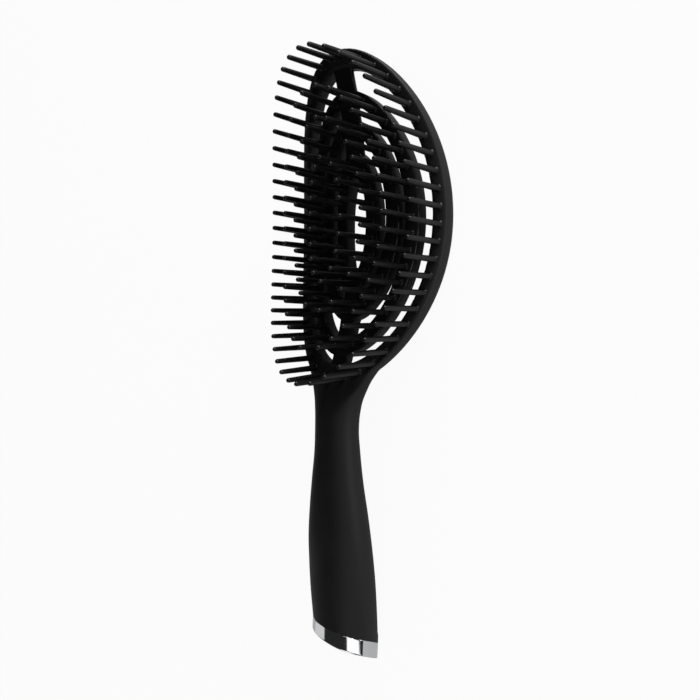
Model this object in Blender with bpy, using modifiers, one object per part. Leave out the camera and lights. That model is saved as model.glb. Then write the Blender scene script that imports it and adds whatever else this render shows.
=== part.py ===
"""Vent brush: a curved open head of a rim and three loops, with moulded pins, on a soft-touch handle.

The brush lies on its back with its pins up.  +X is the width of the head, +Y points along the brush
from the handle to the head's tip, and +Z is the way the pins point.  Everything is modelled round
the middle of the head's front face.  An empty then carries the brush to the surface it rests on.

The head's front face is a saddle: crowned from side to side, hollow from end to end.  The rim, the
loops, the spine and the roots of the pins all lie on that one surface.
"""

import math

import bmesh
import bpy
import numpy
from mathutils import Matrix, Vector

MM = 0.001

# Fits
SEAT_GAP = 0.3 * MM
OVERRUN = 2.0 * MM
MERGE = 0.00005

# Edges sharper than these angles, in degrees, stay sharp in the shading
SHARP_ANGLE = 35
PIN_SHARP_ANGLE = 50

# The turn over which an oval's direction is measured, in radians
TURN_STEP = 0.001

# The saddle that the head's front follows
CROWN_RADIUS = 87.0 * MM
BOW_RADIUS = 164.0 * MM
BOW_Y = -2.0 * MM

# Looks: colour, roughness, metallic value
SOFT_TOUCH = ((0.012, 0.012, 0.013), 0.55, 0.0)
MOULDED = ((0.010, 0.010, 0.011), 0.38, 0.0)
CHROME = ((0.82, 0.83, 0.85), 0.08, 1.0)

# The head's outline in plan, an oval with its widest place at WIDEST_Y: its half width, the reach
# of its tip, and the reach of its heel toward the handle, on either side of Y = 0
WIDEST_Y = 5.3 * MM
ROUND = 2.0
RIM_INNER_FULLNESS = 2.06
RIM_HALF_WIDTH = 38.9 * MM
RIM_TIP = 71.6 * MM
RIM_HEEL = 62.8 * MM

# Inward from that outline, at the side, the tip and the heel: the rim's width, and how far in its
# pins stand
RIM_BAND = 5.6 * MM
RIM_TIP_BAND = 7.6 * MM
RIM_HEEL_BAND = 8.8 * MM
RIM_ROW_INSET = 2.8 * MM
RIM_ROW_TIP_INSET = 3.6 * MM
RIM_ROW_HEEL_INSET = 2.9 * MM

# Each loop at the side, the tip and the heel: its outer edge as shares of the reach of the rim's
# inner edge, measured from the widest place, and its own width
OUTER_LOOP_SHARES = (0.856, 0.867, 0.943)
OUTER_LOOP_BAND = 5.7 * MM
OUTER_LOOP_TIP_BAND = 5.6 * MM
OUTER_LOOP_HEEL_BAND = 7.0 * MM

MIDDLE_LOOP_SHARES = (0.612, 0.685, 0.700)
MIDDLE_LOOP_BAND = 5.9 * MM
MIDDLE_LOOP_TIP_BAND = 6.2 * MM
MIDDLE_LOOP_HEEL_BAND = 8.1 * MM

INNER_LOOP_SHARES = (0.330, 0.482, 0.504)
INNER_LOOP_BAND = 6.0 * MM
INNER_LOOP_TIP_BAND = 11.0 * MM
INNER_LOOP_HEEL_BAND = 8.0 * MM

# Sections of the rim and the loops
RIM_DEPTH = 7.2 * MM
RIM_SHOULDER = 1.8 * MM
RIM_BACK_ROUND = 1.8 * MM
LOOP_DEPTH = 6.4 * MM
LOOP_EDGE = 0.6 * MM
LOOP_BACK_ROUND = 1.2 * MM
RIM_STEPS = 72
LOOP_STEPS = 52
SMALL_LOOP_STEPS = 40
SIDE_SAMPLES = 1000
RIM_SIDE_SHARES = ((0.22, 0.30), (0.0, 0.52), (0.15, 0.80))

# The spine that ties the loops to the rim, at the tip and at the heel
SPINE_WIDTH = 7.6 * MM
SPINE_SINK = 0.8 * MM
SPINE_DEPTH = 5.2 * MM
SPINE_ROOT = 1.0 * MM
SPINE_COLUMNS = 5

# Pin rows: a strip of backing in a groove, with its pins
GROOVE_WIDTH = 3.2 * MM
GROOVE_DEPTH = 1.6 * MM
PIN_LENGTH = 20.3 * MM
PIN_ROOT_RADIUS = 1.28 * MM
PIN_TIP_RADIUS = 0.96 * MM
PIN_SIDES = 6
# how far a pin leans toward the handle for its height, and how much more at the head's heel, where
# that grows from one place to the other
PIN_LEAN_SHARE = 0.037
HEEL_LEAN_SHARE = 0.05
HEEL_LEAN_START = -35.0 * MM
HEEL_LEAN_FULL = -60.0 * MM
# from the face up: share of the pin's length, and share of the radius there
PIN_TIP_SHARES = ((0.955, 1.0), (0.985, 0.6))
# pins in each strip, from tip to heel, down the right side and down the left
RIM_PIN_COUNTS = ((6, 6, 6, 7), (6, 6, 7, 6))
OUTER_PIN_COUNTS = ((5, 5, 5, 4), (5, 5, 5, 4))
MIDDLE_PIN_COUNTS = ((3, 4, 4, 3), (3, 4, 4, 3))
INNER_PIN_COUNTS = ((2, 3, 4), (4, 4))
# how far from the middle of the tip the first pin stands, and the last from the middle of the heel
RIM_PIN_ENDS = ((2.0 * MM, -1.4 * MM), (4.5 * MM, 6.5 * MM))
OUTER_PIN_ENDS = ((1.4 * MM, 5.4 * MM), (6.5 * MM, 4.4 * MM))
MIDDLE_PIN_ENDS = ((4.4 * MM, 1.9 * MM), (0.9 * MM, 6.8 * MM))
INNER_PIN_ENDS = ((-1.2 * MM, 0.5 * MM), (6.0 * MM, 5.6 * MM))

# Neck and handle: the neck starts inside the rim's heel, a little below its face
NECK_OVERLAP = 7.4 * MM
NECK_SINK = 2.7 * MM
HANDLE_LENGTH = 111.3 * MM
GRIP_HALF_WIDTH = 14.9 * MM
GRIP_HALF_DEPTH = 11.9 * MM
HANDLE_DROP = 10.4 * MM
HANDLE_SIDES = 28
HANDLE_FULLNESS = 2.15
END_SLOPE_SHARE = 0.56
# share of the way to the handle's end, half width and half depth as shares of the grip's,
# and how much of the drop and of the end's slope has been taken up there
HANDLE_SHARES = (
    (0.000, 1.180, 0.270, 0.000, 0.00),
    (0.035, 1.160, 0.330, -0.010, 0.00),
    (0.068, 1.030, 0.480, -0.020, 0.00),
    (0.104, 0.780, 0.640, -0.035, 0.00),
    (0.155, 0.680, 0.690, -0.055, 0.00),
    (0.222, 0.640, 0.670, -0.045, 0.00),
    (0.304, 0.672, 0.690, 0.030, 0.02),
    (0.424, 0.760, 0.760, 0.125, 0.08),
    (0.530, 0.855, 0.850, 0.260, 0.20),
    (0.646, 0.940, 0.930, 0.425, 0.40),
    (0.763, 0.986, 0.980, 0.625, 0.64),
    (0.881, 1.000, 1.000, 0.810, 0.86),
    (1.000, 0.986, 0.990, 1.000, 1.00),
)

# Chrome band and plug at the handle's end
BAND_LENGTH = 5.7 * MM
BAND_WALL = 1.5 * MM
BAND_LIP = 0.5 * MM
PLUG_THICKNESS = 1.6 * MM
PLUG_RECESS = 0.4 * MM


class Oval:
    """An oval in plan with unlike ends: a superellipse above and below its widest place."""

    def __init__(self, half_width, tip, heel, fullness=ROUND):
        self.half_width = half_width
        self.up = tip - WIDEST_Y
        self.down = heel + WIDEST_Y
        self.fullness = fullness

    def point(self, turn):
        """The point at an angle from the tip, going round by +X."""
        sine, cosine = math.sin(turn), math.cos(turn)
        power = 2.0 / self.fullness
        x = self.half_width * math.copysign(abs(sine) ** power, sine)
        reach = self.up if cosine >= 0 else self.down
        return Vector((x, WIDEST_Y + reach * math.copysign(abs(cosine) ** power, cosine), 0))

    def normal(self, turn):
        """The outward direction in plan."""
        along = self.point(turn + TURN_STEP) - self.point(turn - TURN_STEP)
        return Vector((-along.y, along.x, 0)).normalized()

    def end_y(self, x, side):
        """How far the oval reaches at a given X: side 1 is the tip, -1 the heel."""
        rise = (1.0 - abs(x / self.half_width) ** self.fullness) ** (1.0 / self.fullness)
        return WIDEST_Y + side * rise * (self.up if side > 0 else self.down)

    def inset(self, side, tip, heel, share=1.0, fullness=ROUND):
        """A smaller oval inside this one, by a share of three distances."""
        return Oval(self.half_width - side * share,
                    self.up + WIDEST_Y - tip * share,
                    self.down - WIDEST_Y - heel * share, fullness)

    def scaled(self, side, tip, heel):
        """A round oval at shares of this one's reach from its widest place."""
        return Oval(self.half_width * side, WIDEST_Y + self.up * tip, self.down * heel - WIDEST_Y)

    def walk(self):
        """Angles all the way round from the tip, with the distance walked on the saddle."""
        turns = [math.pi * i / SIDE_SAMPLES for i in range(2 * SIDE_SAMPLES + 1)]
        spots = [on_face(self.point(turn)) for turn in turns]
        lengths = [0.0]
        for start, stop in zip(spots, spots[1:]):
            lengths.append(lengths[-1] + (stop - start).length)
        return turns, lengths


def even_turns(steps):
    """Angles that go once round an oval in equal steps."""
    return [2 * math.pi * i / steps for i in range(steps)]


def face_z(x, y):
    """Height of the saddle."""
    return (y - BOW_Y) ** 2 / (2 * BOW_RADIUS) - x ** 2 / (2 * CROWN_RADIUS)


def on_face(point, lift=0.0):
    """The point of the saddle above a point in plan, lifted along the pins."""
    return Vector((point.x, point.y, face_z(point.x, point.y) + lift))


NECK_Y = NECK_OVERLAP - RIM_HEEL
NECK_Z = face_z(0, NECK_Y) - NECK_SINK
RIM_OVAL = Oval(RIM_HALF_WIDTH, RIM_TIP, RIM_HEEL)
RIM_INNER_OVAL = RIM_OVAL.inset(RIM_BAND, RIM_TIP_BAND, RIM_HEEL_BAND, fullness=RIM_INNER_FULLNESS)
RIM_ROW_OVAL = RIM_OVAL.inset(RIM_ROW_INSET, RIM_ROW_TIP_INSET, RIM_ROW_HEEL_INSET)
# each loop's name, its outer edge's shares, its width, its steps, and its pins
LOOPS = (
    ("outer_loop", OUTER_LOOP_SHARES,
     (OUTER_LOOP_BAND, OUTER_LOOP_TIP_BAND, OUTER_LOOP_HEEL_BAND),
     LOOP_STEPS, OUTER_PIN_COUNTS, OUTER_PIN_ENDS),
    ("middle_loop", MIDDLE_LOOP_SHARES,
     (MIDDLE_LOOP_BAND, MIDDLE_LOOP_TIP_BAND, MIDDLE_LOOP_HEEL_BAND),
     SMALL_LOOP_STEPS, MIDDLE_PIN_COUNTS, MIDDLE_PIN_ENDS),
    ("inner_loop", INNER_LOOP_SHARES,
     (INNER_LOOP_BAND, INNER_LOOP_TIP_BAND, INNER_LOOP_HEEL_BAND),
     SMALL_LOOP_STEPS, INNER_PIN_COUNTS, INNER_PIN_ENDS),
)


def start_scene():
    """Clear the scene and make the two collections."""
    for old in list(bpy.data.objects):
        bpy.data.objects.remove(old, do_unlink=True)
    for name in ("vent_brush", "cutters"):
        if name not in bpy.data.collections:
            bpy.context.scene.collection.children.link(bpy.data.collections.new(name))


def material(name, colour, roughness, metallic=0.0):
    """A Principled material."""
    made = bpy.data.materials.new(name)
    made.use_nodes = True
    shader = made.node_tree.nodes["Principled BSDF"]
    shader.inputs["Base Color"].default_value = (*colour, 1.0)
    shader.inputs["Roughness"].default_value = roughness
    shader.inputs["Metallic"].default_value = metallic
    return made


def add_object(name, mesh, collection, look=None):
    """Link a mesh as an object, with its own material, or as a hidden cutter."""
    made = bpy.data.objects.new(name, mesh)
    bpy.data.collections[collection].objects.link(made)
    if look:
        mesh.materials.append(material(name, *look))
    else:
        made.hide_render = True
        made.display_type = "WIRE"
    return made


def loft(name, sections, closed=False):
    """Skin equal rings of points: round a closed path, or with flat caps at both ends."""
    shape = bmesh.new()
    rings = [[shape.verts.new(p) for p in section] for section in sections]
    pairs = list(zip(rings, rings[1:]))
    if closed:
        pairs.append((rings[-1], rings[0]))
    for near, far in pairs:
        for i in range(len(near)):
            j = (i + 1) % len(near)
            shape.faces.new((near[i], near[j], far[j], far[i]))
    if not closed:
        shape.faces.new(rings[0][::-1])
        shape.faces.new(rings[-1])
    bmesh.ops.recalc_face_normals(shape, faces=shape.faces)
    mesh = bpy.data.meshes.new(name)
    shape.to_mesh(mesh)
    shape.free()
    return mesh


def smooth(target, degrees=SHARP_ANGLE):
    """Shade smooth with sharp edges above an angle."""
    target.data.shade_smooth()
    target.data.set_sharp_from_angle(angle=math.radians(degrees))


def combine(target, other, operation):
    """A live Boolean with the exact solver."""
    step = target.modifiers.new(operation.lower(), "BOOLEAN")
    step.operation = operation
    step.solver = "EXACT"
    step.object = other


def loop_section(outer, inner, row, turn):
    """Twelve points round a loop's section, with the groove for its pins in front."""
    far, near = outer.point(turn), inner.point(turn)
    across = (far - near).normalized()
    middle, out = row.point(turn), row.normal(turn)
    half = GROOVE_WIDTH / 2
    spots = (
        (near, -LOOP_EDGE), (near + across * LOOP_EDGE, 0.0),
        (middle - out * half, 0.0), (middle - out * half, -GROOVE_DEPTH),
        (middle + out * half, -GROOVE_DEPTH), (middle + out * half, 0.0),
        (far - across * LOOP_EDGE, 0.0), (far, -LOOP_EDGE),
        (far, LOOP_BACK_ROUND - LOOP_DEPTH), (far - across * LOOP_BACK_ROUND, -LOOP_DEPTH),
        (near + across * LOOP_BACK_ROUND, -LOOP_DEPTH), (near, LOOP_BACK_ROUND - LOOP_DEPTH),
    )
    return [on_face(spot, lift) for spot, lift in spots]


def rim_section(turn):
    """The rim's section: a flat front, a rounded shoulder and side, and a rounded back."""
    far, near = RIM_OVAL.point(turn), RIM_INNER_OVAL.point(turn)
    across = (far - near).normalized()
    spots = [(near, -LOOP_EDGE), (near + across * LOOP_EDGE, 0.0), (far - across * RIM_SHOULDER, 0.0)]
    for inward, down in RIM_SIDE_SHARES:
        spots.append((far - across * RIM_SHOULDER * inward, -RIM_DEPTH * down))
    spots.append((far - across * RIM_BACK_ROUND, -RIM_DEPTH))
    spots.append((near + across * LOOP_BACK_ROUND, -RIM_DEPTH))
    spots.append((near, LOOP_BACK_ROUND - RIM_DEPTH))
    return [on_face(spot, lift) for spot, lift in spots]


def spine_piece(name, start, stop, side):
    """One link of the spine, from inside a loop to just short of the piece outside it."""
    sections = []
    for i in range(SPINE_COLUMNS):
        x = SPINE_WIDTH * (i / (SPINE_COLUMNS - 1) - 0.5)
        y0 = start.end_y(x, side) - side * SPINE_ROOT
        y1 = stop.end_y(x, side) - side * SEAT_GAP
        sections.append([Vector((x, y0, face_z(x, y0) - SPINE_SINK)),
                         Vector((x, y1, face_z(x, y1) - SPINE_SINK)),
                         Vector((x, y1, face_z(x, y1) - SPINE_DEPTH)),
                         Vector((x, y0, face_z(x, y0) - SPINE_DEPTH))])
    return add_object(name, loft(name, sections), "cutters")


def make_loop(name, outer, bands, outside, steps, look):
    """A loop with its two links of the spine.  Returns the row its pins follow."""
    inner = outer.inset(*bands)
    row = outer.inset(*bands, share=0.5)
    mesh = loft(name, [loop_section(outer, inner, row, turn) for turn in even_turns(steps)], closed=True)
    made = add_object(name, mesh, "vent_brush", look)
    for side, word in ((1, "tip"), (-1, "heel")):
        combine(made, spine_piece(f"{name}_{word}_link", outer, outside, side), "UNION")
    smooth(made)
    return made, inner, row


def handle_ring(share, wide, deep, drop, slope, trim=0.0, stretch=0.0):
    """One oval section of the handle.  Trim takes its wall in, stretch moves it past the end."""
    half_width = GRIP_HALF_WIDTH * wide - trim
    half_depth = GRIP_HALF_DEPTH * deep - trim
    y = NECK_Y - HANDLE_LENGTH * share - stretch
    z = NECK_Z - HANDLE_DROP * drop
    ring = []
    for i in range(HANDLE_SIDES):
        turn = 2 * math.pi * i / HANDLE_SIDES
        sine, cosine = math.sin(turn), math.cos(turn)
        power = 2.0 / HANDLE_FULLNESS
        dz = half_depth * math.copysign(abs(sine) ** power, sine)
        dx = half_width * math.copysign(abs(cosine) ** power, cosine)
        ring.append(Vector((dx, y + END_SLOPE_SHARE * slope * dz, z + dz)))
    return ring


def end_ring(stretch, trim=0.0):
    """A section past the handle's end, parallel to it."""
    return handle_ring(*HANDLE_SHARES[-1], trim=trim, stretch=stretch)


def make_frame(look):
    """The rim, the neck and the handle in one moulding, with the groove for the rim's pins."""
    turns = even_turns(RIM_STEPS)
    rim = loft("rim_and_handle", [rim_section(turn) for turn in turns], closed=True)
    made = add_object("rim_and_handle", rim, "vent_brush", look)

    spigot = BAND_WALL + SEAT_GAP
    sections = [handle_ring(*row) for row in HANDLE_SHARES]
    sections.append(end_ring(0.0, trim=spigot))
    sections.append(end_ring(BAND_LENGTH - PLUG_THICKNESS - PLUG_RECESS - SEAT_GAP, trim=spigot))
    handle = add_object("handle_body", loft("handle_body", sections), "cutters")
    combine(made, handle, "UNION")

    half = GROOVE_WIDTH / 2
    groove_rings = []
    for turn in turns:
        middle, out = RIM_ROW_OVAL.point(turn), RIM_ROW_OVAL.normal(turn)
        groove_rings.append([on_face(middle - out * half, -GROOVE_DEPTH),
                             on_face(middle + out * half, -GROOVE_DEPTH),
                             on_face(middle + out * half, OVERRUN),
                             on_face(middle - out * half, OVERRUN)])
    groove = add_object("rim_groove", loft("rim_groove", groove_rings, closed=True), "cutters")
    combine(made, groove, "DIFFERENCE")
    smooth(made)
    return made


def make_band(look):
    """The chrome band round the handle's end: an open ring with a rounded lower lip."""
    outer = [end_ring(SEAT_GAP), end_ring(BAND_LENGTH - BAND_LIP), end_ring(BAND_LENGTH, trim=BAND_LIP)]
    inner = [end_ring(BAND_LENGTH, trim=BAND_WALL), end_ring(SEAT_GAP, trim=BAND_WALL)]
    made = add_object("end_band", loft("end_band", outer + inner, closed=True), "vent_brush", look)
    smooth(made)
    return made


def make_plug(look):
    """The flat plug that closes the band."""
    trim = BAND_WALL + SEAT_GAP
    top = BAND_LENGTH - PLUG_RECESS - PLUG_THICKNESS
    sections = [end_ring(top, trim=trim), end_ring(top + PLUG_THICKNESS, trim=trim)]
    made = add_object("end_plug", loft("end_plug", sections), "vent_brush", look)
    smooth(made)
    return made


def make_pin_mesh():
    """One pin: a tapered profile with a rounded tip, turned by a Screw modifier."""
    foot = -GROOVE_DEPTH / 2
    profile = [(0.0, PIN_LENGTH)]
    for up, wide in reversed(PIN_TIP_SHARES):
        profile.append((PIN_TIP_RADIUS * wide, PIN_LENGTH * up))
    profile += [(PIN_ROOT_RADIUS, foot), (0.0, foot)]
    mesh = bpy.data.meshes.new("pin_profile")
    mesh.from_pydata([(x, 0, z) for x, z in profile], [(i, i + 1) for i in range(len(profile) - 1)], [])
    turned = add_object("pin_profile", mesh, "cutters")
    screw = turned.modifiers.new("turn", "SCREW")
    screw.steps = screw.render_steps = PIN_SIDES
    screw.use_merge_vertices = True
    screw.merge_threshold = MERGE
    bpy.context.view_layer.update()
    ready = turned.evaluated_get(bpy.context.evaluated_depsgraph_get())
    made = bpy.data.meshes.new_from_object(ready)
    bpy.data.objects.remove(turned, do_unlink=True)
    return made


def leaning(y):
    """The shear that leans a pin toward the handle, by more near the head's heel."""
    along = (HEEL_LEAN_START - y) / (HEEL_LEAN_START - HEEL_LEAN_FULL)
    shear = Matrix.Identity(4)
    shear[1][2] = -PIN_LEAN_SHARE - HEEL_LEAN_SHARE * min(max(along, 0.0), 1.0)
    return shear


def bends_between(first, last, steps):
    """The angles of a loop's own corners between two angles."""
    step = 2 * math.pi / steps
    return [step * i for i in range(math.floor(first / step), math.ceil(last / step) + 1)
            if first < step * i < last]


def make_strip(name, row, bends, first, last, members, pin_mesh, look):
    """A strip of backing in its groove between two angles, with one pin at each of its members.

    It bends where its groove bends, so that the clearance between them is even.
    """
    half = GROOVE_WIDTH / 2 - SEAT_GAP
    sections = []
    for turn in (first, *bends, last):
        middle, out = row.point(turn), row.normal(turn)
        sections.append([on_face(middle - out * half), on_face(middle + out * half),
                         on_face(middle + out * half, SEAT_GAP - GROOVE_DEPTH),
                         on_face(middle - out * half, SEAT_GAP - GROOVE_DEPTH)])
    made = add_object(name, loft(name, sections), "vent_brush", look)

    pins = bmesh.new()
    for turn in members:
        one = pin_mesh.copy()
        spot = on_face(row.point(turn))
        one.transform(Matrix.Translation(spot) @ leaning(spot.y))
        pins.from_mesh(one)
        bpy.data.meshes.remove(one)
    pins_mesh = bpy.data.meshes.new(f"{name}_set")
    pins.to_mesh(pins_mesh)
    pins.free()
    combine(made, add_object(f"{name}_set", pins_mesh, "cutters"), "UNION")
    smooth(made, PIN_SHARP_ANGLE)
    return made


def side_distances(around, split, ends):
    """How far down one side of an oval, from its tip, each of its evenly spaced pins stands."""
    lead, tail = ends
    pitch = (around / 2 - lead - tail) / (sum(split) - 1)
    return [lead + pitch * i for i in range(sum(split))]


def make_pin_rows(name, row, steps, counts, ends, pin_mesh, look):
    """The pins of one oval, even down each of its sides, in strips that meet end to end.

    Distances run round the oval from its tip by +X.  Strips meet halfway between neighbouring pins.
    """
    turns, lengths = row.walk()
    around = lengths[-1]

    def turn_at(distance):
        rounds = math.floor(distance / around)
        return 2 * math.pi * rounds + float(numpy.interp(distance - rounds * around, lengths, turns))

    spots = side_distances(around, counts[0], ends[0])
    spots += [around - distance for distance in reversed(side_distances(around, counts[1], ends[1]))]

    closed = [spots[-1] - around, *spots, spots[0] + around]
    made = []
    place = 0
    for number, count in enumerate([*counts[0], *reversed(counts[1])], start=1):
        start = (closed[place] + closed[place + 1]) / 2 + SEAT_GAP / 2
        stop = (closed[place + count] + closed[place + count + 1]) / 2 - SEAT_GAP / 2
        members = [turn_at(distance) for distance in spots[place:place + count]]
        first, last = turn_at(start), turn_at(stop)
        made.append(make_strip(f"{name}_{number}", row, bends_between(first, last, steps), first, last,
                               members, pin_mesh, look))
        place += count
    return made


def stand_on_its_back(pieces):
    """Carry the brush and its cutters so that it rests on Z = 0, with the origin under its middle."""
    bpy.context.view_layer.update()
    graph = bpy.context.evaluated_depsgraph_get()
    spots = []
    for piece in pieces:
        ready = piece.evaluated_get(graph)
        spots += [ready.matrix_world @ Vector(corner) for corner in ready.bound_box]
    low_y, high_y = min(p.y for p in spots), max(p.y for p in spots)
    low_z = min(p.z for p in spots)
    carrier = bpy.data.objects.new("brush", None)
    bpy.data.collections["vent_brush"].objects.link(carrier)
    carrier.location = (0, -(low_y + high_y) / 2, -low_z)
    for member in pieces + list(bpy.data.collections["cutters"].objects):
        member.parent = carrier


def build():
    """Make every piece of the brush."""
    start_scene()
    pieces = [make_frame(SOFT_TOUCH)]
    pin_mesh = make_pin_mesh()
    pieces += make_pin_rows("rim_pins", RIM_ROW_OVAL, RIM_STEPS, RIM_PIN_COUNTS, RIM_PIN_ENDS,
                            pin_mesh, MOULDED)
    outside = RIM_INNER_OVAL
    for name, shares, bands, steps, counts, ends in LOOPS:
        outer = RIM_INNER_OVAL.scaled(*shares)
        loop, inner, row = make_loop(name, outer, bands, outside, steps, MOULDED)
        pieces.append(loop)
        pieces += make_pin_rows(f"{name}_pins", row, steps, counts, ends, pin_mesh, MOULDED)
        outside = inner
    pieces.append(make_band(CHROME))
    pieces.append(make_plug(MOULDED))
    stand_on_its_back(pieces)


build()
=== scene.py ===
"""Looks of a vent brush: soft-touch frame, moulded loops and pins, and a chrome end band.

Everything is worked out in the head's own frame, in millimetres: X across the head, Y from the handle
to the tip, and Z along the pins, with zero in the middle of the head's front face.  The last step of
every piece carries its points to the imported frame, in metres.  A piece's faces are a list of arrays,
each with one row of point numbers a face.
"""

import bmesh
import bpy
import numpy as np
from mathutils import Matrix, Vector


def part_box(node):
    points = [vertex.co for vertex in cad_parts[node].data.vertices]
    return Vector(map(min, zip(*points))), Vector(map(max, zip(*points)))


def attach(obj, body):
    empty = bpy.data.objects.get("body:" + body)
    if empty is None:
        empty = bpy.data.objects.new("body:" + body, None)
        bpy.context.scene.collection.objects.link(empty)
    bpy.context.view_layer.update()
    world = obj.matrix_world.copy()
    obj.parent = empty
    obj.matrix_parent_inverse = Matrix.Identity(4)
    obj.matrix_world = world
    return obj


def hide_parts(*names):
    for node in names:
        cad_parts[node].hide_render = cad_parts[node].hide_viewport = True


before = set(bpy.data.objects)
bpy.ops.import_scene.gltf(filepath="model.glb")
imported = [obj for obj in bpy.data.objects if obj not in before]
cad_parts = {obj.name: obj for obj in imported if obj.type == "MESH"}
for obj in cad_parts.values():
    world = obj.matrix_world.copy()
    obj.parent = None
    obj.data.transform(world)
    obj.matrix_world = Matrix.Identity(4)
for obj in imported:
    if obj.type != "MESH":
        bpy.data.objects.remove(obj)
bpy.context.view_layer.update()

# Metres in a millimetre
MM = 0.001

# Saddle that the head's front follows: crown across, bow along
CROWN_RADIUS = 87.0
BOW_RADIUS = 164.0
BOW_Y = -2.0

# Outlines of the head, each with its reach at the side, the tip and the heel, and how full they are
WIDEST_Y = 5.3
ROUND = 2.0
RIM_REACH = (38.9, 71.6, 62.8)
RIM_OUTSIDE_REACH = (RIM_REACH[0], 70.8, RIM_REACH[2])
RIM_OUTSIDE_FULLNESS = (2.09, 1.97)
RIM_BAND = (5.6, 7.6, 8.8)
RIM_INNER_FULLNESS = 2.06
RIM_ROW_INSET = (2.8, 3.6, 2.9)
LOOPS = {
    "outer": {"shares": (0.856, 0.867, 0.943), "band": (5.7, 5.6, 7.0)},
    "middle": {"shares": (0.612, 0.685, 0.700), "band": (5.9, 6.2, 8.1)},
    "inner": {"shares": (0.330, 0.482, 0.504), "band": (6.0, 11.0, 8.0)},
}

# Section of a loop's bar: its faint crown is given as shares of the width and of the rise
LOOP_DEPTH = 6.4
LOOP_FRONT_ROUND = 0.7
LOOP_BACK_ROUND = 1.5
LOOP_CROWN = 0.12
LOOP_CROWN_SHARES = ((0.25, 0.8), (0.5, 1.0), (0.75, 0.8))
LOOP_STEPS = 160
CORNER_POINTS = 5

# Pins: their number down the right and the left side, the distance of the first from the middle of
# the tip and of the last from the middle of the heel, and how far those between, from one share of
# the row to another, are pushed toward the heel
PINS = {
    "rim": ((25, 2.7, -1.4, 0.0), (25, 3.0, 6.5, 2.5)),
    "outer": ((19, 1.4, 5.4, 0.0), (19, 6.5, 4.4, 0.0)),
    "middle": ((14, 4.4, 1.9, 0.0), (14, 0.9, 6.8, 0.0)),
    "inner": ((9, -1.2, 0.5, 0.0), (8, 6.0, 5.6, 0.0)),
}
PUSHED_SHARES = (0.15, 0.80)
ROW_SAMPLES = 4001

# One pin, and how far it leans toward the handle for its height: everywhere, and more at the heel and
# at the tip, where that grows from one Y to another
PIN_LENGTH = 20.3
PIN_ROOT_RADIUS = 1.28
PIN_TIP_RADIUS = 0.96
PIN_FILLET = 0.4
PIN_FILLET_POINTS = 4
PIN_SINK = 0.4
PIN_TAPER_SHARES = (0.33, 0.66)
PIN_TIP_ANGLES = (0, 22, 44, 66, 82)
PIN_SIDES = 14
PIN_LEAN = 0.037
PIN_HEEL_LEAN = 0.05
HEEL_LEAN_Y = (-35.0, -60.0)
PIN_TIP_LEAN = 0.06
TIP_LEAN_Y = (56.0, 66.0)

# Spine links between neighbouring rings, at the tip (1) and at the heel (-1)
LINK_HALF_WIDTHS = {1: 4.4, -1: 3.8}
LINK_DEPTHS = {1: 2.8, -1: 5.2}
LINK_SINK = 0.45
LINK_FLARE = 1.7
LINK_FLARE_POWER = 5
LINK_REACH_IN = 1.6
LINK_CORNER_POWER = 0.22
LINK_POINTS = 26
LINK_RINGS = 22

# Rim's section: across from its inner or its outer edge, and depth below the front
RIM_SHOULDER = 1.8
RIM_DEPTH = 7.2
RIM_PROFILE = (
    ("inner", 0.0, -3.4), ("inner", 0.0, -1.3), ("inner", 0.12, -0.45), ("inner", 0.5, -0.06),
    ("inner", 1.2, 0.0), ("outer", -1.8, 0.0), ("outer", -0.85, 0.0), ("outer", -0.25, -0.2),
    ("outer", -0.06, -0.8), ("outer", 0.0, -2.3), ("outer", 0.0, -3.9), ("outer", -0.25, -5.4),
    ("outer", -1.0, -6.7), ("outer", -2.3, -7.2), ("inner", 2.4, -7.2), ("inner", 0.8, -6.9),
    ("inner", 0.1, -5.9),
)
RIM_STEPS = 300

# The frame's skin: grain of the remesh, and where and how far the creases at the neck are filled
SKIN_VOXEL = 0.5
SKIN_EVEN_ROUNDS = 6
NECK_FILL_START = -51.0
NECK_FILL_STOP = -84.0
NECK_FILL_FADE = 5.0
NECK_FILL_SHARE = 0.9
NECK_FILL_ROUNDS = 60
EASE_SHARES = (0.5, -0.52)

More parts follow.
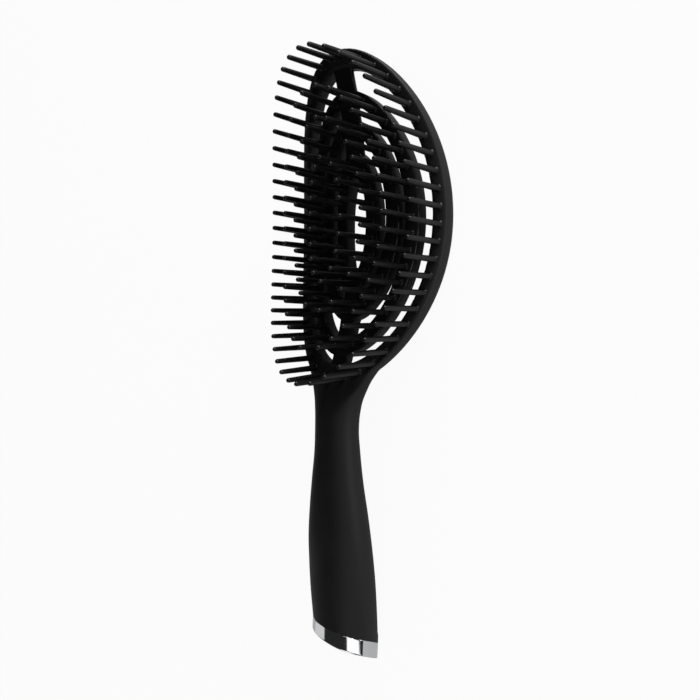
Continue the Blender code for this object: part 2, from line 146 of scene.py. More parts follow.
# Neck and handle: share of the length, half width, half depth, drop and slope, as shares, then how
# full the round section is, the fall of its top and the rise of its back at the sides, and how boxy
# it is
NECK_START_SHARE = 0.0054
NECK_Y = -55.4
NECK_Z = 5.994
NECK_TOP_SHARES = (0.3, 0.6)
HANDLE_LENGTH = 111.3
GRIP_HALF_WIDTH = 14.9
GRIP_HALF_DEPTH = 11.9
HANDLE_DROP = 10.4
HANDLE_FULLNESS = 2.15
HANDLE_ROWS = np.array((
    (0.005, 1.140, 0.292, 0.060, 0.00, 3.20, 1.6, -1.6, 1.00),
    (0.041, 1.005, 0.361, 0.009, 0.00, 3.00, 2.4, 0.2, 0.80),
    (0.077, 0.890, 0.475, -0.025, 0.00, 2.70, 2.6, 1.2, 0.45),
    (0.113, 0.765, 0.590, -0.039, 0.00, 2.40, 1.6, 1.0, 0.14),
    (0.155, 0.675, 0.666, -0.048, 0.00, 2.20, 0.4, 0.3, 0.00),
    (0.222, 0.634, 0.668, -0.042, 0.00, HANDLE_FULLNESS, 0.0, 0.0, 0.00),
    (0.304, 0.668, 0.690, 0.034, 0.02, HANDLE_FULLNESS, 0.0, 0.0, 0.00),
    (0.424, 0.770, 0.765, 0.132, 0.08, HANDLE_FULLNESS, 0.0, 0.0, 0.00),
    (0.530, 0.870, 0.860, 0.268, 0.20, HANDLE_FULLNESS, 0.0, 0.0, 0.00),
    (0.646, 0.958, 0.945, 0.430, 0.40, HANDLE_FULLNESS, 0.0, 0.0, 0.00),
    (0.763, 1.003, 0.992, 0.622, 0.64, HANDLE_FULLNESS, 0.0, 0.0, 0.00),
    (0.881, 1.014, 1.010, 0.800, 0.86, HANDLE_FULLNESS, 0.0, 0.0, 0.00),
    (1.000, 0.998, 0.998, 0.990, 1.00, HANDLE_FULLNESS, 0.0, 0.0, 0.00),
))
HANDLE_POINTS = 120
HANDLE_RINGS = 140

# The handle's slanted end, and its last edge and stub: how far in, and how far past the end
END_RISE = 1.24
END_TILT = 0.41
END_BOW = 0.0145
END_SKEW = 0.11
END_FIRST_ANGLE = 20.0
HANDLE_EDGE = ((0.02, -3.0), (0.02, -1.5), (0.0, 0.0), (0.0, 0.4), (0.3, 0.7), (0.9, 0.9))
STUB_STEPS = (1.0, 2.1, 3.3)

# Chrome band: its lip, given inward and on from its start, and its rolled edge, inward and back from
# its end, then where its inside runs
BAND_LENGTH = 6.25
BAND_SKEW = 0.008
BAND_WALL = 1.5
BAND_GAP = 0.3
BAND_LIP = ((0.30, 0.16), (0.07, 0.18), (0.015, 0.22), (0.0, 0.30), (0.0, 0.5))
BAND_ROLL = ((0.0, 0.9), (0.0, 0.7), (0.04, 0.5), (0.16, 0.25), (0.40, 0.06), (0.7, 0.0))
BAND_INNER_EDGE = 0.2
BAND_INSIDE_STEPS = (2.8, 0.08)
BAND_POINTS = 144

# Plug: its softened edge and flat face are given inward from its side and back from its face
PLUG_RECESS = 0.4
PLUG_THICKNESS = 1.6
PLUG_FACE = ((0.0, 0.35), (0.1, 0.1), (0.35, 0.0), (3.0, 0.0), (7.0, 0.0))

# Noise of the finishes: detail, the broad noise's share of the fine one's scale, and the range used
FINE_DETAIL = 3.0
BROAD_DETAIL = 4.0
BROAD_SHARE = 1 / 40
BROAD_RANGE = (0.3, 0.7)

# Room: half the floor's width in metres, its grey and its white for the camera, and the room's grey
# for light and for mirrors
FLOOR_HALF = 6.0
FLOOR_GREY = 0.8
FLOOR_WHITE_SHARE = 0.94
ROOM_GREY = 0.3
MIRRORED_GREY = 0.02
# Lamps: name, place and aim in metres, width and height, and watts
LAMPS = (
    ("right_softbox", (0.76, -0.62, 0.70), (0, -0.12, 0), (0.35, 1.25), 1.7),
    ("end_lamp", (0.05, -1.00, 0.45), (0, -0.12, 0), (0.5, 0.5), 1.5),
    ("right_lamp", (1.0, 0.05, 0.10), (0, -0.08, 0), (0.5, 0.2), 1.7),
    ("tip_lamp", (0.30, 0.85, 0.20), (0, 0.05, 0), (0.7, 0.35), 9.5),
    ("left_card", (-0.95, -0.60, 0.40), (0, -0.12, 0), (0.25, 0.8), 0.4),
)

# Camera, in the head's frame, in metres, and its lens in millimetres
CAMERA_PLACE = (0.18925, -0.04181, 0.22115)
CAMERA_RIGHT = (0.75811, 0.04223, -0.65076)
CAMERA_UP = (-0.04600, 0.99888, 0.01122)
CAMERA_BACK = (0.65051, 0.02143, 0.75920)
CAMERA_NEAR = 0.01
LENS = 36.0


def face_height(x, y):
    """Height of the saddle: a hollow arc along Y less a crown across X."""
    return (y - BOW_Y) ** 2 / (2 * BOW_RADIUS) - x ** 2 / (2 * CROWN_RADIUS)


rim_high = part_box("rim_and_handle")[1]
HEAD_PLACE = np.array((
    0.0,
    rim_high.y - RIM_REACH[1] * MM,
    rim_high.z - face_height(0.0, RIM_REACH[1] - RIM_SHOULDER) * MM,
))


def to_frame(points):
    """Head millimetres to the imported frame's metres."""
    return np.asarray(points, float) * MM + HEAD_PLACE


class Oval:
    """A superellipse in plan with unlike reach, and maybe fullness, above and below its widest place."""

    def __init__(self, side, tip, heel, fullness=ROUND, heel_fullness=None):
        self.side, self.tip, self.heel, self.fullness = side, tip, heel, fullness
        self.heel_fullness = heel_fullness or fullness

    def points(self, turns):
        """X and Y at angles from the tip by +X: each is the sine or cosine to 2 over the fullness."""
        sine, cosine = np.sin(turns), np.cos(turns)
        power = 2.0 / np.where(cosine >= 0, self.fullness, self.heel_fullness)
        reach = np.where(cosine >= 0, self.tip - WIDEST_Y, self.heel + WIDEST_Y)
        return np.stack((self.side * np.sign(sine) * np.abs(sine) ** power,
                         WIDEST_Y + reach * np.sign(cosine) * np.abs(cosine) ** power), -1)

    def inset(self, distances, share=1.0, fullness=ROUND):
        """A smaller oval, a share of three distances inward."""
        side, tip, heel = distances
        return Oval(self.side - side * share, self.tip - tip * share, self.heel - heel * share, fullness)

    def scaled(self, shares):
        """An oval at shares of this one's reach from its widest place."""
        side, tip, heel = shares
        return Oval(self.side * side, WIDEST_Y + (self.tip - WIDEST_Y) * tip,
                    (self.heel + WIDEST_Y) * heel - WIDEST_Y)

    def end(self, x, side):
        """The Y that the oval reaches at an X, at the tip (1) or the heel (-1)."""
        rise = (1.0 - np.abs(x / self.side) ** self.fullness) ** (1.0 / self.fullness)
        return WIDEST_Y + side * rise * ((self.tip - WIDEST_Y) if side > 0 else (self.heel + WIDEST_Y))


RIM = Oval(*RIM_REACH)
RIM_OUTSIDE = Oval(*RIM_OUTSIDE_REACH, *RIM_OUTSIDE_FULLNESS)
RIM_INNER = RIM.inset(RIM_BAND, fullness=RIM_INNER_FULLNESS)
RIM_ROW = RIM.inset(RIM_ROW_INSET)
LOOP_OVALS = {name: RIM_INNER.scaled(loop["shares"]) for name, loop in LOOPS.items()}


def turns_round(count):
    """Angles once round, in equal steps."""
    return np.arange(count) * 2 * np.pi / count


def superellipse(angle, power):
    """Shares of the half width and the half height at angles: cosine and sine to a power, with sign."""
    cosine, sine = np.cos(angle), np.sin(angle)
    return np.sign(cosine) * np.abs(cosine) ** power, np.sign(sine) * np.abs(sine) ** power


def grid_faces(rows, columns, wrap_rows, wrap_columns):
    """Quads of a grid of points, joined at its ends where it wraps."""
    i = np.arange(rows if wrap_rows else rows - 1)
    j = np.arange(columns if wrap_columns else columns - 1)
    i, j = (a.ravel() for a in np.meshgrid(i, j, indexing="ij"))
    k, m = (i + 1) % rows, (j + 1) % columns
    return np.stack((i * columns + j, i * columns + m, k * columns + m, k * columns + j), -1)


def closed_tube(points):
    """A tube of rings that runs back into itself: its points and faces."""
    rows, columns = points.shape[:2]
    return points.reshape(-1, 3), [grid_faces(rows, columns, True, True)]


def capped(points):
    """A tube of rings with a middle point at each end: its points and faces."""
    rows, columns = points.shape[:2]
    ends = np.stack((points[0].mean(0), points[-1].mean(0)))
    j = np.arange(columns)
    k = (j + 1) % columns
    first_end = np.full(columns, rows * columns)
    last_ring = (rows - 1) * columns
    caps = np.concatenate((np.stack((first_end, k, j), -1),
                           np.stack((first_end + 1, last_ring + j, last_ring + k), -1)))
    return np.concatenate((points.reshape(-1, 3), ends)), [grid_faces(rows, columns, False, True), caps]


def joined(shells):
    """Points and faces of several shells in one: each shell's point numbers follow the last one's."""
    starts = np.cumsum([0] + [len(points) for points, _ in shells])
    faces = [group + start for start, (_, groups) in zip(starts, shells) for group in groups]
    return np.concatenate([points for points, _ in shells]), faces


def turn_outward(mesh):
    """Make every closed shell's faces point out."""
    shape = bmesh.new()
    shape.from_mesh(mesh)
    bmesh.ops.recalc_face_normals(shape, faces=shape.faces)
    shape.to_mesh(mesh)
    shape.free()


def new_mesh(name, points, faces):
    """A mesh with its faces outward."""
    mesh = bpy.data.meshes.new(name)
    mesh.from_pydata(points.tolist(), [], [face for group in faces for face in group.tolist()])
    turn_outward(mesh)
    return mesh


def in_scene(name, data):
    """A new object in the scene."""
    thing = bpy.data.objects.new(name, data)
    bpy.context.scene.collection.objects.link(thing)
    return thing


def add_piece(name, shell, look, nodes):
    """A smooth piece from points in head millimetres and faces, riding on the one body."""
    points, faces = shell
    mesh = new_mesh(name, to_frame(points), faces)
    mesh.validate()
    mesh.shade_smooth()
    mesh.materials.append(look)
    piece = in_scene(name, mesh)
    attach(piece, "root")
    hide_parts(*nodes)


def corner(side, across, depth, radius, start):
    """A quarter round of a section: centre, radius and first angle, in degrees, going clockwise."""
    angles = np.radians(start - np.linspace(0, 90, CORNER_POINTS))
    return [(side, across + radius * np.cos(a), depth + radius * np.sin(a)) for a in angles]


def loop_profile():
    """A rounded bar: up its inner wall, over a faintly crowned front, down its outer wall, and back.

    Each point is a share of the width plus a distance across, and a height over the front.
    """
    front, back = LOOP_FRONT_ROUND, LOOP_BACK_ROUND
    bar = [(0, 0.0, -LOOP_DEPTH / 2)]
    bar += corner(0, front, -front, front, 180)
    bar += [(share, front * (1 - 2 * share), LOOP_CROWN * rise) for share, rise in LOOP_CROWN_SHARES]
    bar += corner(1, -front, -front, front, 90)
    bar += [(1, 0.0, -LOOP_DEPTH / 2)]
    bar += corner(1, -back, back - LOOP_DEPTH, back, 0)
    bar += [(0.5, 0.0, -LOOP_DEPTH)]
    bar += corner(0, back, back - LOOP_DEPTH, back, 270)
    return np.array(bar)


def carried_round(outer, inner, profile, steps):
    """A section carried round between two ovals: a share of the width plus a distance across it."""
    turns = turns_round(steps)
    far, near = outer.points(turns), inner.points(turns)
    width = np.linalg.norm(far - near, axis=1)
    across = (far - near) / width[:, None]
    offset = width[:, None] * profile[None, :, 0] + profile[None, :, 1]
    plan = near[:, None, :] + across[:, None, :] * offset[..., None]
    height = face_height(plan[..., 0], plan[..., 1]) + profile[None, :, 2]
    return np.concatenate((plan, height[..., None]), -1)


def make_loop(name, look):
    """One oval loop of the flexible insert: its bar's section carried round between its two edges."""
    outer = LOOP_OVALS[name]
    inner = outer.inset(LOOPS[name]["band"])
    shell = closed_tube(carried_round(outer, inner, loop_profile(), LOOP_STEPS))
    add_piece(f"{name}_loop_bar", shell, look, [f"{name}_loop"])


def link_shell(inside, outside, side):
    """A spine link: a rounded bar from inside one ring to inside the next, flared at both ends.

    Its half width is the middle's plus a flare that grows with the fifth power of the distance from
    the middle, and its ends follow the ovals that it joins.
    """
    along = np.linspace(0, 1, LINK_RINGS)
    half = LINK_HALF_WIDTHS[side] + LINK_FLARE * np.abs(2 * along - 1) ** LINK_FLARE_POWER
    x_share, z_share = superellipse(turns_round(LINK_POINTS), LINK_CORNER_POWER)
    x = half[:, None] * x_share[None, :]
    start = inside.end(x, side) - side * LINK_REACH_IN
    stop = outside.end(x, side) + side * LINK_REACH_IN
    y = start + (stop - start) * along[:, None]
    depth = LINK_DEPTHS[side]
    middle, tall = -(LINK_SINK + depth) / 2, (depth - LINK_SINK) / 2
    z = face_height(x, y) + middle + tall * z_share[None, :]
    return capped(np.stack((x, y, z), -1))


def make_links(look):
    """The six links of the spine, tip and heel, in one piece of separate bars."""
    rings = [(LOOP_OVALS["outer"], RIM_INNER),
             (LOOP_OVALS["middle"], LOOP_OVALS["outer"].inset(LOOPS["outer"]["band"])),
             (LOOP_OVALS["inner"], LOOP_OVALS["middle"].inset(LOOPS["middle"]["band"]))]
    shells = [link_shell(inside, outside, side) for inside, outside in rings for side in (1, -1)]
    add_piece("spine_links", joined(shells), look, [])


def pin_places(row, sides):
    """Where the pins of an oval stand: even distances along the saddle, down each of its sides, plus
    half a sine wave of push."""
    turns = np.linspace(0, 2 * np.pi, ROW_SAMPLES)
    plan = row.points(turns)
    path = np.column_stack((plan, face_height(plan[:, 0], plan[:, 1])))
    walked = np.concatenate(([0.0], np.cumsum(np.linalg.norm(np.diff(path, axis=0), axis=1))))
    around = walked[-1]
    distances = []
    begin, end = PUSHED_SHARES
    for direction, (count, lead, tail, push) in zip((1, -1), sides):
        even = np.linspace(lead, around / 2 - tail, count)
        pushed = np.clip((np.linspace(0, 1, count) - begin) / (end - begin), 0, 1)
        distances.append(direction * (even + push * np.sin(np.pi * pushed)))
    at = row.points(np.interp(np.concatenate(distances) % around, walked, turns))
    return np.column_stack((at, face_height(at[:, 0], at[:, 1])))


def pin_profile():
    """Radius and height up a pin: a fillet at its root, a straight taper, and a round tip."""
    fillet = [(PIN_ROOT_RADIUS + PIN_FILLET, -PIN_SINK)]
    fillet += [(PIN_ROOT_RADIUS + PIN_FILLET * (1 - np.sin(a)), PIN_FILLET * (1 - np.cos(a)))
               for a in np.radians(np.linspace(0, 90, PIN_FILLET_POINTS))]
    top = PIN_LENGTH - PIN_TIP_RADIUS
    taper = [(PIN_ROOT_RADIUS + (PIN_TIP_RADIUS - PIN_ROOT_RADIUS) * t, top * t + PIN_FILLET * (1 - t))
             for t in PIN_TAPER_SHARES]
    tip = [(PIN_TIP_RADIUS * np.cos(a), top + PIN_TIP_RADIUS * np.sin(a))
           for a in np.radians(PIN_TIP_ANGLES)]
    return np.array(fillet + taper + tip)


def one_pin():
    """A pin at zero: its profile turned round Z, with its tip closed at its full length."""
    profile = pin_profile()
    angle = turns_round(PIN_SIDES)
    points, faces = capped(np.stack((profile[:, :1] * np.cos(angle), profile[:, :1] * np.sin(angle),
                                     np.repeat(profile[:, 1:], PIN_SIDES, 1)), -1))
    points[-1, 2] = PIN_LENGTH
    return points, faces


def make_pins(name, row, look, nodes):
    """All the pins of one oval: the same pin set down at each place, and sheared by its lean."""
    points, faces = one_pin()
    places = pin_places(row, PINS[name])
    lean = PIN_LEAN
    for more, (start, stop) in ((PIN_HEEL_LEAN, HEEL_LEAN_Y), (PIN_TIP_LEAN, TIP_LEAN_Y)):
        lean = lean + more * np.clip((places[:, 1] - start) / (stop - start), 0, 1)
    pins = places[:, None, :] + points[None, :, :]
    pins[..., 1] -= lean[:, None] * points[None, :, 2]
    add_piece(f"{name}_pin_row", joined([(pin, faces) for pin in pins]), look, nodes)


def handle_values(share):
    """The columns of HANDLE_ROWS at a share of the handle's length, by a smooth curve.

    Each column is a cubic through the rows, with slopes from the neighbours of each row.
    """
    places, columns = HANDLE_ROWS[:, 0], HANDLE_ROWS[:, 1:]
    slopes = np.gradient(columns, places, axis=0)
    i = np.clip(np.searchsorted(places, share, side="right") - 1, 0, len(places) - 2)
    step = places[i + 1] - places[i]
    t = (share - places[i]) / step
    return ((2 * t ** 3 - 3 * t ** 2 + 1) * columns[i] + (t ** 3 - 2 * t ** 2 + t) * step * slopes[i]
            + (3 * t ** 2 - 2 * t ** 3) * columns[i + 1] + (t ** 3 - t ** 2) * step * slopes[i + 1])


def end_slant(dx, dz):
    """How far the slanted end reaches up the handle: a tilt from back to front, less a bow, a little
    askew."""
    return END_RISE + END_TILT * dz - END_BOW * dz ** 2 - END_SKEW * dx


def end_ring(trim, stretch, count):
    """The superelliptic section of the handle's slanted end, a trim smaller all round.

    A stretch carries it past the handle's end, a little further on one side.
    """
    wide, deep, drop, slope = handle_values(1.0)[:4]
    x_share, z_share = superellipse(np.radians(END_FIRST_ANGLE) + turns_round(count), 2.0 / HANDLE_FULLNESS)
    dx = (GRIP_HALF_WIDTH * wide - trim) * x_share
    dz = (GRIP_HALF_DEPTH * deep - trim) * z_share
    y = NECK_Y - HANDLE_LENGTH - stretch * (1 + BAND_SKEW * dx) + slope * end_slant(dx, dz)
    return np.stack((dx, y, NECK_Z - HANDLE_DROP * drop + dz), -1)


def end_rings(wall, count=BAND_POINTS):
    """A grid of end sections from a list of trims and stretches."""
    return np.stack([end_ring(trim, stretch, count) for trim, stretch in wall])


def rounded_profile(cage):
    """A closed section's smooth curve: two rounds of cubic subdivision of its cage."""
    section = cage
    for _ in range(2):
        before, after = np.roll(section, 1, 0), np.roll(section, -1, 0)
        kept, added = (before + 6 * section + after) / 8, (section + after) / 2
        section = np.stack((kept, added), 1).reshape(-1, section.shape[1])
    return section


def rim_shell():
    """The rim by itself: its rounded section carried round between its two ovals."""
    cage = np.array([(edge == "outer", across, depth) for edge, across, depth in RIM_PROFILE], float)
    return closed_tube(carried_round(RIM_OUTSIDE, RIM_INNER, rounded_profile(cage), RIM_STEPS))


def neck_ring(share):
    """One section of neck and handle: between the rim's own section and a superellipse.

    The rim's section is stretched to the ring's width and depth.  The superellipse is taken in the
    same directions from the middle, and the boxy share says how much of the first there is.  Toward
    the sides the top falls by the crown and the back rises by the keel.
    """
    wide, deep, drop, slope, fullness, crown, keel, boxy = handle_values(share)
    half_width, half_depth = GRIP_HALF_WIDTH * wide, GRIP_HALF_DEPTH * deep
    side = np.array([(half_width + across, 1 + 2 * depth / RIM_DEPTH)
                     for edge, across, depth in RIM_PROFILE if edge == "outer"])
    top = np.array([(half_width * x, 1.0) for x in NECK_TOP_SHARES])
    right = np.concatenate((top, side, top[::-1] * (1, -1)))
    cage = np.concatenate(([(0.0, 1.0)], right, [(0.0, -1.0)], right[::-1] * (-1, 1)))
    section = rounded_profile(cage) * (1, half_depth)
    x, z = section[:, 0] / half_width, section[:, 1] / half_depth
    round_section = section / ((np.abs(x) ** fullness + np.abs(z) ** fullness) ** (1 / fullness))[:, None]
    dx, dz = (boxy * section + (1 - boxy) * round_section).T
    y = NECK_Y - HANDLE_LENGTH * share + slope * end_slant(dx, dz)
    upper = (1 + dz / half_depth) / 2
    bent = (dx / half_width) ** 2 * (keel * (1 - upper) - crown * upper)
    return np.stack((dx, y, NECK_Z - HANDLE_DROP * drop + dz + bent), -1)


def handle_shell():
    """Neck and handle by themselves, from inside the rim's heel to the slanted end."""
    return capped(np.stack([neck_ring(share) for share in np.linspace(NECK_START_SHARE, 1.0, HANDLE_RINGS)]))


def stub_shell():
    """The handle's last edge, which dives under the band's lip, and the stub that holds the band."""
    stub = [(BAND_WALL + BAND_GAP, stretch) for stretch in STUB_STEPS]
    return capped(end_rings(list(HANDLE_EDGE) + stub, HANDLE_POINTS))


def one_skin(shells, voxel):
    """Points and quads of the one skin that a voxel remesh, in millimetres, puts round closed shells."""
    mesh = new_mesh("shells", *joined(shells))
    rough = in_scene("shells", mesh)
    remesh = rough.modifiers.new("one_skin", "REMESH")
    remesh.mode = "VOXEL"
    remesh.voxel_size = voxel
    bpy.context.view_layer.update()
    skin = bpy.data.meshes.new_from_object(rough.evaluated_get(bpy.context.evaluated_depsgraph_get()))
    places = np.empty(len(skin.vertices) * 3)
    skin.vertices.foreach_get("co", places)
    corners = np.empty(len(skin.loops), int)
    skin.loops.foreach_get("vertex_index", corners)
    bpy.data.objects.remove(rough, do_unlink=True)
    bpy.data.meshes.remove(mesh)
    bpy.data.meshes.remove(skin)
    return places.reshape(-1, 3), corners.reshape(-1, 4)


def summed(index, values, count):
    """Rows of values added up by index, for three columns."""
    return np.stack([np.bincount(index, values[:, axis], count) for axis in range(3)], -1)


def point_normals(points, quads):
    """Outward direction at each point: the cross products of its quads' diagonals, added up."""
    crossed = np.cross(points[quads[:, 2]] - points[quads[:, 0]], points[quads[:, 3]] - points[quads[:, 1]])
    normals = summed(quads.ravel(), np.repeat(crossed, 4, 0), len(points))
    return normals / np.linalg.norm(normals, axis=1)[:, None]


def ease(points, quads, weight, fill, rounds):
    """Even out the steps of a skin, and fill its hollow creases.

    Each round moves every point by half the way to the mean of its neighbours and back by a little
    more, which smooths without shrinking.  Where that mean lies outside the skin, the point first
    rises toward it by the fill share.
    """
    ends = quads.ravel()
    others = np.roll(quads, -1, 1).ravel()
    near, far = np.concatenate((ends, others)), np.concatenate((others, ends))
    neighbours = np.bincount(near, minlength=len(points))[:, None]
    weight = weight[:, None]
    for _ in range(rounds):
        if fill:
            step = summed(near, points[far], len(points)) / neighbours - points
            normals = point_normals(points, quads)
            points = points + fill * weight * np.maximum((step * normals).sum(1), 0.0)[:, None] * normals
        for share in EASE_SHARES:
            step = summed(near, points[far], len(points)) / neighbours - points
            points = points + share * weight * step
    return points


def make_frame_moulding(look):
    """Rim, neck and handle in one skin, with the creases between rim and neck filled to soft hollows."""
    points, quads = one_skin([rim_shell(), handle_shell(), stub_shell()], SKIN_VOXEL)
    below = NECK_FILL_START - points[:, 1]
    above = points[:, 1] - NECK_FILL_STOP
    at_neck = np.clip(below / NECK_FILL_FADE, 0, 1) * np.clip(above / NECK_FILL_FADE, 0, 1)
    points = ease(points, quads, at_neck, NECK_FILL_SHARE, NECK_FILL_ROUNDS)
    points = ease(points, quads, np.ones(len(points)), 0.0, SKIN_EVEN_ROUNDS)
    add_piece("frame_moulding", (points, [quads]), look, ["rim_and_handle"])


def make_band(look):
    """The chrome band: a wall of even thickness round the slanted end, with a crisp lip and a rolled
    edge."""
    wall = list(BAND_LIP) + [(0.0, BAND_LENGTH / 2)]
    wall += [(trim, BAND_LENGTH - back) for trim, back in BAND_ROLL]
    wall += [(BAND_WALL - BAND_INNER_EDGE, BAND_LENGTH), (BAND_WALL, BAND_LENGTH - BAND_INNER_EDGE)]
    wall += [(BAND_WALL, stretch) for stretch in BAND_INSIDE_STEPS]
    add_piece("end_band_chrome", closed_tube(end_rings(wall)), look, ["end_band"])


def make_plug(look):
    """The plug: a disc with a softened edge, seated in the band and following the end's slant."""
    side = BAND_WALL + BAND_GAP
    face = BAND_LENGTH - PLUG_RECESS
    wall = [(side, face - PLUG_THICKNESS)] + [(side + inward, face - back) for inward, back in PLUG_FACE]
    add_piece("end_plug_disc", capped(end_rings(wall)), look, ["end_plug"])


def new_look(name, colour, roughness, metallic=0.0):
    """A Principled material: itself, its nodes, its links and its shader."""
    look = bpy.data.materials.new(name)
    look.use_nodes = True
    nodes, links = look.node_tree.nodes, look.node_tree.links
    shader = nodes["Principled BSDF"]
    shader.inputs["Base Color"].default_value = (*colour, 1.0)
    shader.inputs["Roughness"].default_value = roughness
    shader.inputs["Metallic"].default_value = metallic
    return look, nodes, links, shader


def noise(nodes, links, place, scale, detail):
    """Noise on Object coordinates."""
    cloud = nodes.new("ShaderNodeTexNoise")
    cloud.inputs["Scale"].default_value = scale
    cloud.inputs["Detail"].default_value = detail
    links.new(place.outputs["Object"], cloud.inputs["Vector"])
    return cloud.outputs["Fac"]


def grain(nodes, links, shader, scale, strength, distance, roughness, tones):
    """Fine noise that drives the bump, and broad noise that drives the roughness and the colour."""
    place = nodes.new("ShaderNodeTexCoord")
    fine = noise(nodes, links, place, scale, FINE_DETAIL)
    bump = nodes.new("ShaderNodeBump")
    bump.inputs["Strength"].default_value = strength
    bump.inputs["Distance"].default_value = distance
    links.new(fine, bump.inputs["Height"])
    links.new(bump.outputs["Normal"], shader.inputs["Normal"])

    broad = noise(nodes, links, place, scale * BROAD_SHARE, BROAD_DETAIL)
    rough = nodes.new("ShaderNodeMapRange")
    rough.inputs["From Min"].default_value, rough.inputs["From Max"].default_value = BROAD_RANGE
    rough.inputs["To Min"].default_value, rough.inputs["To Max"].default_value = roughness
    links.new(broad, rough.inputs["Value"])
    links.new(rough.outputs["Result"], shader.inputs["Roughness"])

    colour = nodes.new("ShaderNodeValToRGB")
    for stop, position, tone in zip(colour.color_ramp.elements, BROAD_RANGE, tones):
        stop.position = position
        stop.color = (*tone, 1.0)
    links.new(broad, colour.inputs["Fac"])
    links.new(colour.outputs["Color"], shader.inputs["Base Color"])


def soft_touch_look():
    """Matt black rubberised lacquer: a fine grain and soft broad highlights."""
    look, nodes, links, shader = new_look("soft_touch_black", (0.0045, 0.0045, 0.0048), 0.5)
    shader.inputs["Specular IOR Level"].default_value = 0.38
    grain(nodes, links, shader, scale=2600.0, strength=0.10, distance=0.00005, roughness=(0.52, 0.58),
          tones=((0.0034, 0.0034, 0.0037), (0.0050, 0.0050, 0.0053)))
    return look


def moulded_look():
    """Satin black nylon, as it leaves the mould: glossier than the frame, with a faint flow."""
    look, nodes, links, shader = new_look("moulded_black", (0.004, 0.004, 0.0043), 0.36)
    shader.inputs["Specular IOR Level"].default_value = 0.35
    grain(nodes, links, shader, scale=1800.0, strength=0.06, distance=0.00004, roughness=(0.30, 0.40),
          tones=((0.0030, 0.0030, 0.0033), (0.0045, 0.0045, 0.0048)))
    return look


def chrome_look():
    """Bright chrome plate with a barely uneven polish."""
    look, nodes, links, shader = new_look("chrome_plate", (0.82, 0.83, 0.85), 0.07, metallic=1.0)
    grain(nodes, links, shader, scale=900.0, strength=0.02, distance=0.00002, roughness=(0.05, 0.09),
          tones=((0.80, 0.81, 0.83), (0.85, 0.86, 0.88)))
    return look


def white_floor():
    """A pale matt floor that camera rays see as nearly white, with some of the brush's shadow."""
    corners = np.array(((-1, -1, 0), (1, -1, 0), (1, 1, 0), (-1, 1, 0))) * FLOOR_HALF
    mesh = bpy.data.meshes.new("floor")
    mesh.from_pydata(corners.tolist(), [], [(0, 1, 2, 3)])
    in_scene("floor", mesh)
    look = bpy.data.materials.new("white_floor")
    look.use_nodes = True
    nodes, links = look.node_tree.nodes, look.node_tree.links
    nodes.clear()
    out = nodes.new("ShaderNodeOutputMaterial")
    matt = nodes.new("ShaderNodeBsdfDiffuse")
    matt.inputs["Color"].default_value = (*[FLOOR_GREY] * 3, 1)
    white = nodes.new("ShaderNodeEmission")
    white.inputs["Strength"].default_value = 1.0
    path = nodes.new("ShaderNodeLightPath")
    share = nodes.new("ShaderNodeMath")
    share.operation = "MULTIPLY"
    share.inputs[1].default_value = FLOOR_WHITE_SHARE
    links.new(path.outputs["Is Camera Ray"], share.inputs[0])
    mix = nodes.new("ShaderNodeMixShader")
    links.new(share.outputs[0], mix.inputs[0])
    links.new(matt.outputs[0], mix.inputs[1])
    links.new(white.outputs[0], mix.inputs[2])
    links.new(mix.outputs[0], out.inputs["Surface"])
    mesh.materials.append(look)


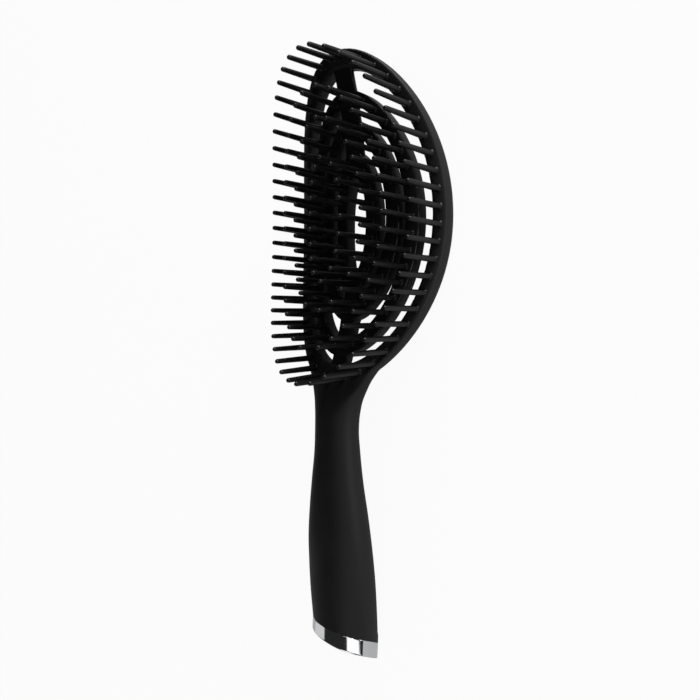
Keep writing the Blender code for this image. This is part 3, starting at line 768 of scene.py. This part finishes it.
def grey_room():
    """The world: grey for light, nearly black for mirror rays, and white for camera rays."""
    world = bpy.data.worlds.new("room")
    bpy.context.scene.world = world
    world.use_nodes = True
    nodes, links = world.node_tree.nodes, world.node_tree.links
    nodes.clear()
    out = nodes.new("ShaderNodeOutputWorld")
    path = nodes.new("ShaderNodeLightPath")
    room, dim, white = (nodes.new("ShaderNodeBackground") for _ in range(3))
    for background, grey in ((room, ROOM_GREY), (dim, MIRRORED_GREY), (white, 1)):
        background.inputs["Color"].default_value = (grey, grey, grey, 1)
    mirrored = nodes.new("ShaderNodeMixShader")
    links.new(path.outputs["Is Glossy Ray"], mirrored.inputs[0])
    links.new(room.outputs[0], mirrored.inputs[1])
    links.new(dim.outputs[0], mirrored.inputs[2])
    mix = nodes.new("ShaderNodeMixShader")
    links.new(path.outputs["Is Camera Ray"], mix.inputs[0])
    links.new(mirrored.outputs[0], mix.inputs[1])
    links.new(white.outputs[0], mix.inputs[2])
    links.new(mix.outputs[0], out.inputs["Surface"])


def soft_lamp(name, place, aim, size, power):
    """An area lamp at a place, in metres, turned toward a point: width by height, and watts."""
    data = bpy.data.lights.new(name, "AREA")
    data.shape = "RECTANGLE"
    data.size, data.size_y = size
    data.energy = power
    lamp = in_scene(name, data)
    lamp.location = place
    lamp.rotation_euler = (Vector(aim) - Vector(place)).to_track_quat("-Z", "Y").to_euler()


def photo_camera():
    """The camera at the photograph's viewpoint."""
    data = bpy.data.cameras.new("photo_view")
    data.lens = LENS
    data.sensor_width = LENS
    data.clip_start = CAMERA_NEAR
    camera = in_scene("photo_view", data)
    turned = Matrix((CAMERA_RIGHT, CAMERA_UP, CAMERA_BACK)).transposed().to_4x4()
    camera.matrix_world = Matrix.Translation(Vector(CAMERA_PLACE) + Vector(HEAD_PLACE)) @ turned
    bpy.context.scene.camera = camera


def node_names(start):
    """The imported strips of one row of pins."""
    return sorted(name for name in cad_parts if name.startswith(start))


photo_camera()
white_floor()
grey_room()
for lamp_values in LAMPS:
    soft_lamp(*lamp_values)

soft_touch = soft_touch_look()
moulded = moulded_look()
chrome = chrome_look()

make_frame_moulding(soft_touch)
for loop_name in LOOPS:
    make_loop(loop_name, moulded)
    middle_oval = LOOP_OVALS[loop_name].inset(LOOPS[loop_name]["band"], share=0.5)
    make_pins(loop_name, middle_oval, moulded, node_names(f"{loop_name}_loop_pins"))
make_pins("rim", RIM_ROW, moulded, node_names("rim_pins"))
make_links(moulded)
make_band(chrome)
make_plug(moulded)

bpy.context.scene.view_settings.view_transform = "Standard"
